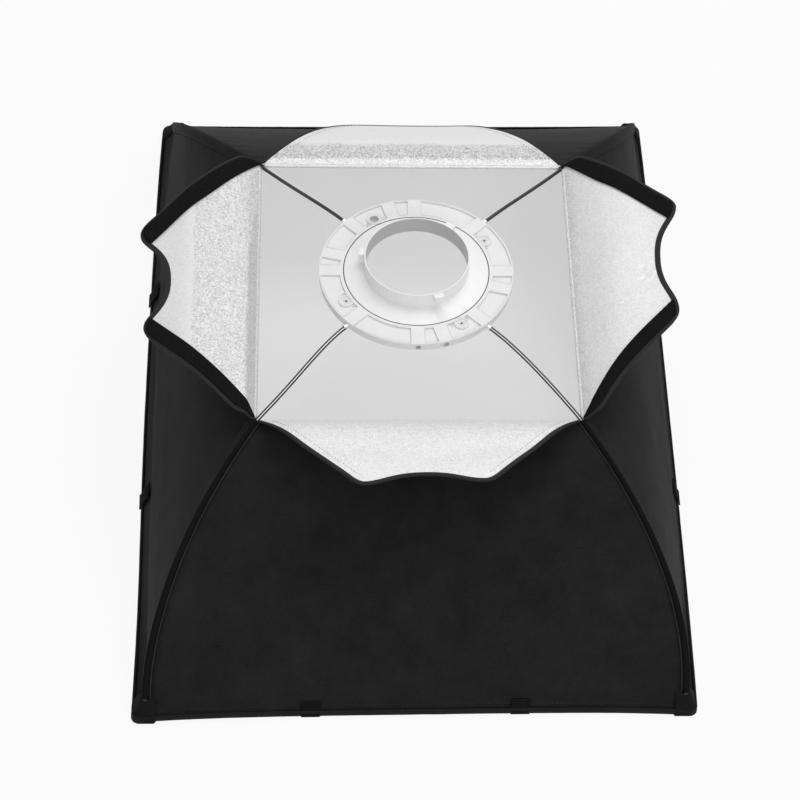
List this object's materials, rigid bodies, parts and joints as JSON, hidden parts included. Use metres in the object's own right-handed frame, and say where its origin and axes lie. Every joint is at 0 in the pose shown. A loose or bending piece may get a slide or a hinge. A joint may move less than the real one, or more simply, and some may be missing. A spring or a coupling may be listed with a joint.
{
  "type": "softbox",
  "caption": "Rectangular black softbox on its front rim: bowed shell on bent rods, white speed ring with a turning mount insert, folding silver rear flaps and a recessed front diffuser.",
  "frame": {"origin": "centre of the front rim's bounding rectangle, on the surface that the rim lies on", "axes": "+Z from the front rim to the speed ring, +Y along the long side, +X along the short side"},
  "size_m": [0.6, 0.88, 0.2433],
  "materials": {
    "black_nylon": "matte",
    "silver_lining": "satin",
    "hook_tape_cloth": "matte",
    "diffuser_cloth": "matte",
    "ring_plastic": "satin",
    "insert_metal": "satin",
    "rod_steel": "gloss",
    "bright_metal": "satin",
    "cap_plastic": "satin"
  },
  "bodies": {
    "shell": {"shell_panel_near": "black_nylon", "shell_panel_far": "black_nylon", "shell_panel_left": "black_nylon", "shell_panel_right": "black_nylon", "rim_hem_near": "black_nylon", "rim_hem_far": "black_nylon", "rim_hem_left": "black_nylon", "rim_hem_right": "black_nylon", "corner_pocket_near_left": "black_nylon", "corner_pocket_near_right": "black_nylon", "corner_pocket_far_left": "black_nylon", "corner_pocket_far_right": "black_nylon", "corner_sleeve_near_left": "black_nylon", "corner_sleeve_near_right": "black_nylon", "corner_sleeve_far_left": "black_nylon", "corner_sleeve_far_right": "black_nylon", "rod_near_left": "rod_steel", "rod_near_right": "rod_steel", "rod_far_left": "rod_steel", "rod_far_right": "rod_steel", "rod_ferrule_near_left": "bright_metal", "rod_ferrule_near_right": "bright_metal", "rod_ferrule_far_left": "bright_metal", "rod_ferrule_far_right": "bright_metal", "rod_cap_near_left": "cap_plastic", "rod_cap_near_right": "cap_plastic", "rod_cap_far_left": "cap_plastic", "rod_cap_far_right": "cap_plastic", "ring_housing": "ring_plastic", "ring_clamp_plate": "ring_plastic", "ring_screw_1": "bright_metal", "ring_screw_2": "bright_metal", "ring_screw_3": "bright_metal", "ring_screw_4": "bright_metal", "front_diffuser": "diffuser_cloth", "loop_tape_near": "hook_tape_cloth", "loop_tape_far": "hook_tape_cloth", "loop_tape_left": "hook_tape_cloth", "loop_tape_right": "hook_tape_cloth", "grid_tab_near_a": "hook_tape_cloth", "grid_tab_near_b": "hook_tape_cloth", "grid_tab_far_a": "hook_tape_cloth", "grid_tab_far_b": "hook_tape_cloth", "grid_tab_left_a": "hook_tape_cloth", "grid_tab_left_b": "hook_tape_cloth", "grid_tab_right_a": "hook_tape_cloth", "grid_tab_right_b": "hook_tape_cloth"},
    "insert": {"mount_insert": "insert_metal"},
    "near_flap": {"flap_near_inner": "silver_lining"},
    "near_flap_tip": {"flap_near_outer": "silver_lining"},
    "far_flap": {"flap_far_inner": "silver_lining"},
    "far_flap_tip": {"flap_far_outer": "silver_lining"},
    "left_flap": {"flap_left": "silver_lining", "hook_tape_left_a": "hook_tape_cloth", "hook_tape_left_b": "hook_tape_cloth"},
    "right_flap": {"flap_right": "silver_lining", "hook_tape_right_a": "hook_tape_cloth", "hook_tape_right_b": "hook_tape_cloth"}
  },
  "joints": [
    {"name": "mount_spin", "type": "hinge", "parent": "shell", "child": "insert", "pos_m": [0, 0, 0.2165], "axis": [0, 0, 1], "continuous": true},
    {"name": "near_flap_fold", "type": "hinge", "parent": "shell", "child": "near_flap", "pos_m": [0, -0.18904, 0.18746], "axis": [-1, 0, 0], "range_deg": [-41, 133]},
    {"name": "near_flap_crease", "type": "hinge", "parent": "near_flap", "child": "near_flap_tip", "pos_m": [0, -0.24427, 0.2109], "axis": [-1, 0, 0], "range_deg": [-8, 12]},
    {"name": "far_flap_fold", "type": "hinge", "parent": "shell", "child": "far_flap", "pos_m": [0, 0.18904, 0.18746], "axis": [1, 0, 0], "range_deg": [-4, 158]},
    {"name": "far_flap_crease", "type": "hinge", "parent": "far_flap", "child": "far_flap_tip", "pos_m": [0, 0.249, 0.18537], "axis": [1, 0, 0], "range_deg": [-4, 46]},
    {"name": "left_flap_fold", "type": "hinge", "parent": "shell", "child": "left_flap", "pos_m": [-0.17553, 0, 0.18737], "axis": [0, 1, 0], "range_deg": [-20, 143]},
    {"name": "right_flap_fold", "type": "hinge", "parent": "shell", "child": "right_flap", "pos_m": [0.17553, 0, 0.18737], "axis": [0, -1, 0], "range_deg": [-44, 121]}
  ]
}
